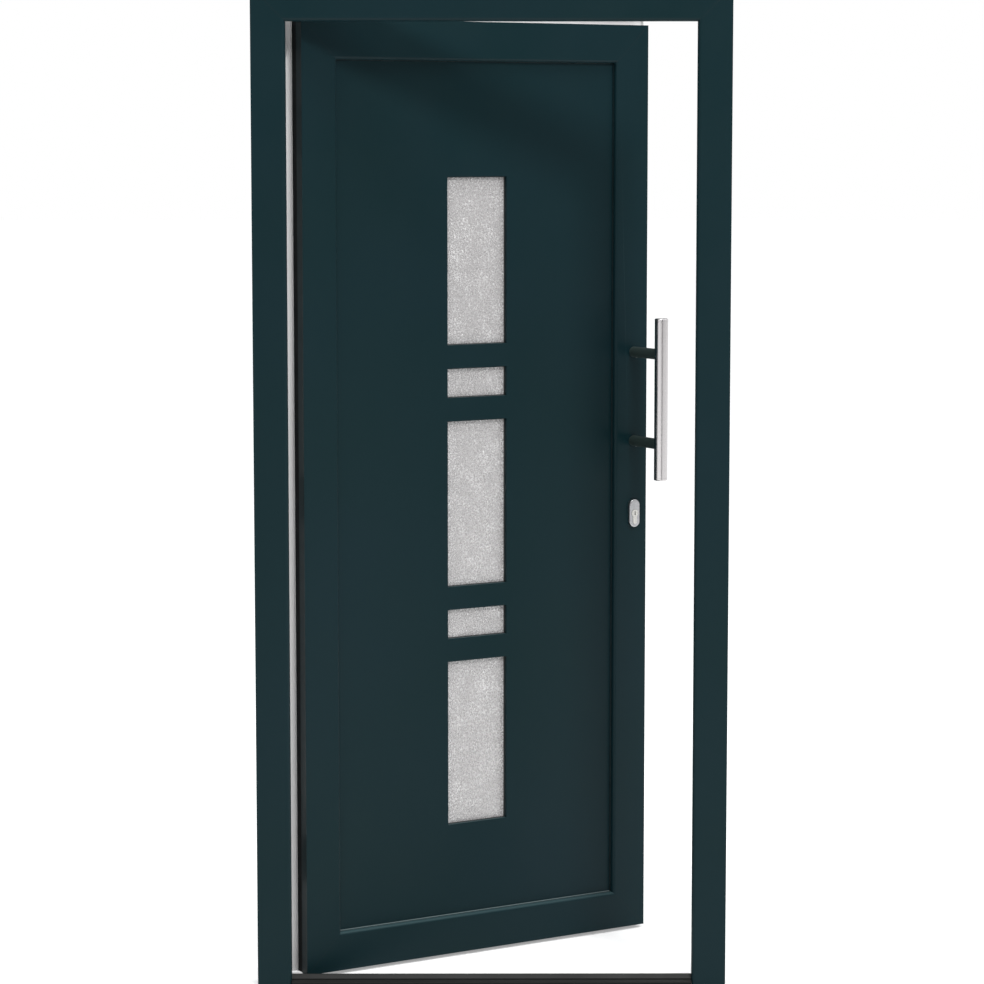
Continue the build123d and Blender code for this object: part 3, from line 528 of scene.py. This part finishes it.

# %% Where the painted sheen and dust go


def paler_above(name, tone, steep, level):
    """Mixes a paler tone into a finish, from none on steep faces to all of it on level ones."""
    tree = finishes[name].node_tree
    base = tree.nodes["Principled BSDF"].inputs["Base Color"]
    plain = base.links[0].from_socket
    # The mask marks a painted sheen from the light above, together with a little dust.
    dust = use_group(tree, dust_and_painted_sheen, {"From": steep, "To": level})
    tree.links.new(mixed_colour(tree, dust["Mask"], plain, tone), base)


# Painted sheen: the faces of the gasket's lip and of the dark coat that look up are made paler, standing in for
# the light from above, together with a little dust.
paler_above("gasket_lip", (0.085, 0.110, 0.112), steep=0.2, level=0.6)
paler_above("outer_coat", (0.024, 0.049, 0.054), steep=0.1, level=0.8)

# %% [markdown]
# ## Dressing the solids
# Every solid comes with the name of its material, and most simply get the finish of that name. A few
# look different from the rest of their material in the photo, so they get a finish of their own. A
# list of exceptions is shorter, and easier to check, than a finish for each of the solids.

# %% Give every solid its finish
special_finish = {
    "leaf_lip_seal": "pale_rubber",
    "lever_handle": "stainless_lever",
    "outer_rosette": "rosette_satin",
    "pull_bar": "stainless_bar_painted_bands",
    "threshold_ridge": "threshold_coat",
}
for part in frame["record"]["subparts"]:
    node = part["node"]
    materials = frame["nodes"][node].data.materials
    materials.clear()
    materials.append(finishes[special_finish.get(node, part["material_slot"])])

# %% [markdown]
# ## Making small parts
# The small parts are lathed or lofted: rings of points, joined by faces. Blender's own cylinders and
# modifiers would do as well, but rings give full control with few faces. Each part is described once
# about its own axis, and a matrix puts it where it belongs. Parts on the leaf are worked out with the
# door shut and then swung open with it, so sizes can be read straight off the solids.

# %% Rings and lofts
ROUND_STEPS = 32


def ring(radius, height, lobes=0, lobe_depth=0.0):
    """Points round the Z axis. Lobes turn the circle into a star for a driver's socket."""
    points = []
    for step in range(ROUND_STEPS):
        angle = 2 * math.pi * step / ROUND_STEPS
        reach = radius * (1 + lobe_depth * math.cos(lobes * angle))
        points.append(Vector((reach * math.cos(angle), reach * math.sin(angle), height)))
    return points


def lathed(profile):
    """The rings of a turned part. Its profile is radii and heights in millimetres."""
    return [ring(radius * millimetre, height * millimetre) for radius, height in profile]


def loft(build, rings, place, joined=False):
    """Joins rings of equal length at a place. Joined closes the loop instead of capping its ends."""
    rows = [[build.verts.new(place @ point) for point in points] for points in rings]
    pairs = list(zip(rows, rows[1:]))
    if joined:
        pairs.append((rows[-1], rows[0]))
    for lower, upper in pairs:
        for step in range(len(lower)):
            after = (step + 1) % len(lower)
            build.faces.new((lower[step], lower[after], upper[after], upper[step]))
    if not joined:
        build.faces.new(list(reversed(rows[0])))
        build.faces.new(rows[-1])


print("round parts have", ROUND_STEPS, "steps")

# %% From rings to pieces
sharp_angle = math.radians(35)


def finish_piece(build, name, finish, body):
    """Turns a build into an object that wears a finish and rides on a body."""
    bmesh.ops.recalc_face_normals(build, faces=build.faces)
    mesh = bpy.data.meshes.new(name)
    build.to_mesh(mesh)
    build.free()
    mesh.shade_smooth()
    mesh.set_sharp_from_angle(angle=sharp_angle)
    mesh.materials.append(finishes[finish])
    piece = bpy.data.objects.new(name, mesh)
    bpy.context.scene.collection.objects.link(piece)
    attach(piece, body)
    print("piece:", name, "with", len(mesh.polygons), "faces on the", body)
    return piece


def copies(name, rings, places, finish, body, joined=False):
    """One piece made of the same lofted part at several places."""
    build = bmesh.new()
    for place in places:
        loft(build, rings, place, joined)
    finish_piece(build, name, finish, body)


# %% Where things are
STILL = Matrix.Identity(4)
INWARDS = Vector((0, 1, 0))
RIGHT = Vector((1, 0, 0))
UP = Vector((0, 0, 1))


def facing(point, outwards):
    """The matrix that stands a part on a face: its Z axis along the face's normal."""
    return Matrix.Translation(point) @ outwards.to_track_quat("Z", "Y").to_matrix().to_4x4()


def closed_box(node):
    """Lowest and highest corners of a solid of the leaf with the door shut."""
    corners = [unswing @ vertex.co for vertex in frame["nodes"][node].data.vertices]
    lowest = Vector([min(corner[axis] for corner in corners) for axis in range(3)])
    highest = Vector([max(corner[axis] for corner in corners) for axis in range(3)])
    return lowest, highest


def halfway(low, high):
    """The middle between two coordinates."""
    return (low + high) / 2


leaf_back = closed_box("leaf_hinge_stile_inner")[1].y
frame_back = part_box("frame_hinge_jamb_inner")[1].y
print("inner faces of the shut leaf and of the frame at Y", round(leaf_back, 4), round(frame_back, 4))

# %% [markdown]
# ## Screws
# Hinges, faceplate, strike and backplate are all screwed on. A low domed head with a star socket is
# easy to lathe: rings go up the dome, in over the rim and down into the socket.

# %% Screw heads


def screw_rings(radius, height):
    """A domed head with a star socket."""
    # Each ring of the dome as a share of the radius and of the height, from the foot up. The socket
    # narrows a little towards its floor.
    dome = ((1.0, -0.2), (1.0, 0.25), (0.93, 0.62), (0.78, 0.88), (0.60, 1.0))
    star = {"lobes": 6, "lobe_depth": 0.13}
    socket = 0.46 * radius
    rings = [ring(share * radius, level * height) for share, level in dome]
    rings.append(ring(socket, height, **star))
    rings.append(ring(0.92 * socket, 0.35 * height, **star))
    return rings


plate_screw = screw_rings(4.2 * millimetre, 1.7 * millimetre)
flat_screw = screw_rings(3.6 * millimetre, 0.9 * millimetre)
print("rings in a screw head:", len(plate_screw))

# %% [markdown]
# ## Hinges
# Each hinge has a broad plate on the leaf with four screws, a narrow one on the frame with three, and
# a thin nylon washer above and below the knuckle in the middle. The screws sit in columns that are
# measured from the edge of their plate, so they stay on it when the hinge moves or grows. All the
# screws of a plate are one piece, because they move together.

# %% Screws and washers of the hinges
leaf_plate = 5 * millimetre
frame_plate = 6 * millimetre
near_column = 12 * millimetre
far_column = 38 * millimetre
screw_rise = 34 * millimetre
knuckle_half = 19.05 * millimetre
# A washer's radii and thickness in millimetres.
hole = 5.2
rim = 9.7
thickness = 0.4
washer = lathed(((hole, 0.0), (rim, 0.0), (rim, thickness), (hole, thickness)))
for level in ("bottom", "middle", "top"):
    low, high = closed_box(f"hinge_{level}_leaf_half")
    middle = halfway(low.z, high.z)
    spots = [
        swing @ facing((high.x - inset, leaf_back + leaf_plate, middle + rise), INWARDS)
        for inset in (near_column, far_column)
        for rise in (-screw_rise, screw_rise)
    ]
    copies(f"hinge_{level}_leaf_screws", plate_screw, spots, "lock_steel", "leaf")
    low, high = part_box(f"hinge_{level}_frame_half")
    spots = [
        facing((low.x + near_column, frame_back + frame_plate, middle + rise), INWARDS)
        for rise in (-screw_rise, 0.0, screw_rise)
    ]
    copies(f"hinge_{level}_frame_screws", plate_screw, spots, "lock_steel", "frame")
    spots = [
        Matrix.Translation((hinge_point.x, hinge_point.y, height))
        for height in (middle + knuckle_half, middle - knuckle_half - thickness * millimetre)
    ]
    copies(f"hinge_{level}_washers", washer, spots, "nylon", "frame", joined=True)

# %% [markdown]
# ## Lock plates
# The long faceplate in the leaf's edge has a screw at each end, and a third that holds the cylinder
# and sits at the cylinder's own height. The strike plate on the frame and the backplate behind the
# lever have one at each end. Their heads are flatter than those of the hinges, because the shut door
# leaves little room over the first two plates.

# %% Screws in the lock's plates
faceplate_end = 9 * millimetre
strike_end = 14 * millimetre
backplate_end = 13 * millimetre

rosette_low, rosette_high = closed_box("outer_rosette")
cylinder_height = halfway(rosette_low.z, rosette_high.z)
low, high = closed_box("lock_faceplate")
spots = [
    swing @ facing((high.x, halfway(low.y, high.y), height), RIGHT)
    for height in (low.z + faceplate_end, cylinder_height, high.z - faceplate_end)
]
copies("faceplate_screws", flat_screw, spots, "lock_steel", "leaf")

low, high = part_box("strike_plate")
spots = [
    facing((low.x, halfway(low.y, high.y), height), -RIGHT)
    for height in (low.z + strike_end, high.z - strike_end)
]
copies("strike_screws", flat_screw, spots, "lock_steel", "frame")

backplate_low, backplate_high = closed_box("inner_backplate")
lock_x = halfway(backplate_low.x, backplate_high.x)
spots = [
    swing @ facing((lock_x, backplate_high.y, height), INWARDS)
    for height in (backplate_low.z + backplate_end, backplate_high.z - backplate_end)
]
copies("backplate_screws", flat_screw, spots, "stainless", "leaf")
print("the cylinder's screw is at", round(cylinder_height, 3))

# %% [markdown]
# ## Collar of the lever
# The lever turns inside a raised collar on its backplate. A torus would be too round for it, so it is
# a lathed ring whose profile goes round once: along the foot, up the rim, over the shoulder and back
# down the bore.

# %% Collar
lever_low, lever_high = closed_box("lever_handle")
collar = lathed(((9.2, 0.0), (13.0, 0.0), (13.0, 1.6), (12.2, 2.4), (9.8, 2.6), (9.2, 2.2)))
collar_place = swing @ facing((lock_x, backplate_high.y, halfway(lever_low.z, lever_high.z)), INWARDS)
copies("lever_collar", collar, [collar_place], "stainless", "leaf", joined=True)

# %% [markdown]
# ## Details of the pull bar
# The bar is a tube closed by two end caps, which leave hairline joints. A groove would mean cutting
# the bar's solid, which stays as it is, so each joint is a dark ring let into the bar and just proud
# of it. A grub screw under each standoff pins the bar to the door.

# %% Cap joints
bar_low, bar_high = closed_box("pull_bar")
bar_x = halfway(bar_low.x, bar_high.x)
bar_y = halfway(bar_low.y, bar_high.y)
bar_radius = (bar_high.x - bar_low.x) / 2
cap_length = 5 * millimetre
joint_width = 0.3 * millimetre
joint_root = bar_radius - 0.2 * millimetre
joint_face = bar_radius + 0.04 * millimetre
joint_ring = [
    ring(joint_root, 0.0),
    ring(joint_face, 0.0),
    ring(joint_face, joint_width),
    ring(joint_root, joint_width),
]
spots = [
    swing @ Matrix.Translation((bar_x, bar_y, height))
    for height in (bar_low.z + cap_length, bar_high.z - cap_length)
]
copies("pull_bar_cap_joints", joint_ring, spots, "joint_line", "leaf", joined=True)
print("the bar's radius is", round(bar_radius, 4))

# %% Grub screws
standoff_low, standoff_high = closed_box("pull_standoffs")
standoff_width = standoff_high.x - standoff_low.x
grub_inset = 12 * millimetre
grub_y = standoff_high.y - grub_inset
hexagon = {"lobes": 6, "lobe_depth": 0.1}
grub = [
    *lathed(((2.0, -0.4), (2.0, 0.3), (1.7, 0.5))),
    ring(1.1 * millimetre, 0.5 * millimetre, **hexagon),
    ring(1.0 * millimetre, -0.2 * millimetre, **hexagon),
]
spots = [
    swing @ facing((bar_x, grub_y, height), -UP)
    for height in (standoff_low.z, standoff_high.z - standoff_width)
]
copies("standoff_grub_screws", grub, spots, "lock_steel", "leaf")

# %% [markdown]
# ## Windows
# Each pane is bedded in the folded edge of its slot. A narrow fillet of sealant closes the joint
# between glass and metal, on the outside and the inside. It is a hollow triangle carried round a
# rectangle, one ring at each corner.

# %% Sealant round the panes
pane_overlap = 10 * millimetre
fillet = 1.8 * millimetre
hollow = 0.45 * fillet
OUTSIDE = -1
INSIDE = 1


def corner_rings(centre, half_width, half_height, section):
    """A section carried round an upright rectangle. Section points are (inset, depth)."""
    rings = []
    for side, level in ((-1, -1), (1, -1), (1, 1), (-1, 1)):
        points = []
        for inset, depth in section:
            across = side * (half_width - inset)
            up = level * (half_height - inset)
            points.append(Vector((centre.x + across, centre.y + depth, centre.z + up)))
        rings.append(points)
    return rings


def fillet_section(side):
    """The sealant's hollow triangle, on the outside or the inside of the glass."""
    return [(0.0, 0.0), (fillet, 0.0), (hollow, side * hollow), (0.0, side * fillet)]


inner_face = closed_box("window_inner_panes")[1].y
inner_build = bmesh.new()
for number in range(1, 6):
    low, high = closed_box(f"window_{number}_outer_pane")
    half_width = (high.x - low.x) / 2 - pane_overlap
    half_height = (high.z - low.z) / 2 - pane_overlap
    centre = Vector((halfway(low.x, high.x), low.y, halfway(low.z, high.z)))
    outer_build = bmesh.new()
    rings = corner_rings(centre, half_width, half_height, fillet_section(OUTSIDE))
    loft(outer_build, rings, swing, joined=True)
    finish_piece(outer_build, f"window_{number}_sealant", "seal_rubber", "leaf")
    centre.y = inner_face
    rings = corner_rings(centre, half_width, half_height, fillet_section(INSIDE))
    loft(inner_build, rings, swing, joined=True)
finish_piece(inner_build, "window_inner_sealant", "seal_rubber", "leaf")

# %% [markdown]
# ## Gasket round the panel
# The panel is pressed against the profiles' flanges through a gasket. Its slim lip shows as a fine
# line round the panel. Along the bottom the lip looks up, so a painted sheen from the light above and
# a little dust make it pale, and along the top it stays dark. Its section is carried round the
# opening, as the sealant was.

# %% Lip of the panel's gasket
stile_low, stile_high = closed_box("leaf_lock_stile_outer")
rail_top = closed_box("leaf_bottom_rail_outer")[1].z
head_bottom = closed_box("leaf_top_rail_outer")[0].z
opening_half = stile_low.x
centre = Vector((0.0, closed_box("panel_outer_skin")[0].y, halfway(rail_top, head_bottom)))
lip_width = 2.2 * millimetre
lip_depth = 2.8 * millimetre
# Shares of the lip's width and depth, from its root behind the flange round to its front.
lip_shape = ((-0.5, 0.0), (1.0, 0.0), (0.9, -0.35), (0.5, -0.8), (0.0, -1.0), (-0.5, -1.0))
section = [(inset * lip_width, depth * lip_depth) for inset, depth in lip_shape]
gasket_build = bmesh.new()
rings = corner_rings(centre, opening_half, (head_bottom - rail_top) / 2, section)
loft(gasket_build, rings, swing, joined=True)
finish_piece(gasket_build, "panel_gasket_lip", "gasket_lip", "leaf")
print("the panel's opening is", round(2 * opening_half, 3), "wide")

# %% [markdown]
# ## Mitre joints
# Frame and leaf are cut at 45 degrees and pulled together with cleats, so a hairline shows on each
# face. It is a very thin strip let into the corner, because a line drawn in the coat would need its
# own material for each corner. It stops short of the rounded edges.

# %% A hairline
line_width = 0.35 * millimetre
line_proud = 0.03 * millimetre
line_root = 0.10 * millimetre


def hairline(build, start, end, outwards, place):
    """A thin strip along a joint, just proud of the face."""
    across = (end - start).cross(outwards).normalized() * line_width / 2
    corners = (
        -across - outwards * line_root,
        across - outwards * line_root,
        across + outwards * line_proud,
        -across + outwards * line_proud,
    )
    loft(build, [[point + corner for corner in corners] for point in (start, end)], place)


def mitre_hairlines(name, body, place, half_width, levels, face, outwards, reach):
    """Hairlines at the left and right corners. Levels are (height, direction towards the middle)."""
    build = bmesh.new()
    for side in (-1, 1):
        for level, towards in levels:
            start = Vector((side * half_width, face, level))
            end = start + Vector((-side * reach, 0.0, towards * reach))
            hairline(build, start, end, outwards, place)
    finish_piece(build, name, "joint_line", body)


# %% Hairlines on the frame
frame_edge = 8 * millimetre
inner_edge = 1.5 * millimetre
jamb_low, jamb_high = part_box("frame_lock_jamb_outer")
inner_low, inner_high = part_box("frame_lock_jamb_inner")
half_width = jamb_high.x
corners = [(jamb_high.z, -1)]
reach = jamb_high.x - jamb_low.x - frame_edge
mitre_hairlines("frame_outer_mitres", "frame", STILL, half_width, corners, jamb_low.y, -INWARDS, reach)
reach = inner_high.x - inner_low.x - inner_edge
mitre_hairlines("frame_inner_mitres", "frame", STILL, half_width, corners, inner_high.y, INWARDS, reach)

# %% Hairlines on the leaf
leaf_edge = 7 * millimetre
stile_body = 62 * millimetre
shell_high = closed_box("leaf_lock_stile_inner")[1]
face = shell_high.y
lip = shell_high.x - stile_high.x
lip_edge = lip / 8
half_width = stile_high.x
reach = stile_high.x - stile_low.x - leaf_edge
corners = [(stile_low.z, 1), (stile_high.z, -1)]
mitre_hairlines("leaf_outer_mitres", "leaf", swing, half_width, corners, stile_low.y, -INWARDS, reach)

reach = stile_body + lip
corners = [(shell_high.z - lip_edge, -1)]
half_width = shell_high.x - lip_edge
mitre_hairlines("leaf_inner_top_mitres", "leaf", swing, half_width, corners, face, INWARDS, reach)

corners = [(stile_low.z, 1)]
half_width = stile_high.x
mitre_hairlines("leaf_inner_bottom_mitres", "leaf", swing, half_width, corners, face, INWARDS, stile_body)

# %% [markdown]
# ## Brush under the leaf
# A strip of pile closes the gap over the threshold. Hair particles would show every bristle, but they
# don't export as a mesh. Real pile is many short tufts side by side, a little uneven, so it is made
# as rows of small tapered bundles. They take the place of the plain block that stands for the brush
# among the solids.

# %% Tufts of the brush
brush_seed = 7
random.seed(brush_seed)
low, high = closed_box("leaf_brush_seal")
tuft_rows = 3
tuft_pitch = 2.5 * millimetre
tuft_sides = 6
root_radius = 1.05 * millimetre
tip_radius = 0.85 * millimetre
# The most, in millimetres, that a tip leans along and across the strip, and that a tuft is shorter.
lean_along = 0.3
lean_across = 0.2
shorter = 0.25

tuft_turns = [2 * math.pi * step / tuft_sides for step in range(tuft_sides)]
tuft_outline = [Vector((math.cos(turn), math.sin(turn), 0.0)) for turn in tuft_turns]
row_pitch = (high.y - low.y) / tuft_rows
tuft_count = int((high.x - low.x) / tuft_pitch)
brush_build = bmesh.new()
for row in range(tuft_rows):
    for number in range(tuft_count):
        root = Vector((low.x + (number + 0.5) * tuft_pitch, low.y + (row + 0.5) * row_pitch, high.z))
        along = random.uniform(-lean_along, lean_along)
        across = random.uniform(-lean_across, lean_across)
        rise = random.uniform(0.0, shorter)
        tip = Vector((root.x, root.y, low.z)) + Vector((along, across, rise)) * millimetre
        rings = [
            [point + radius * corner for corner in tuft_outline]
            for point, radius in ((root, root_radius), (tip, tip_radius))
        ]
        loft(brush_build, rings, swing)
bristles = finish_piece(brush_build, "leaf_brush_tufts", "brush", "leaf")
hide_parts("leaf_brush_seal")
print("tufts:", tuft_rows * tuft_count)
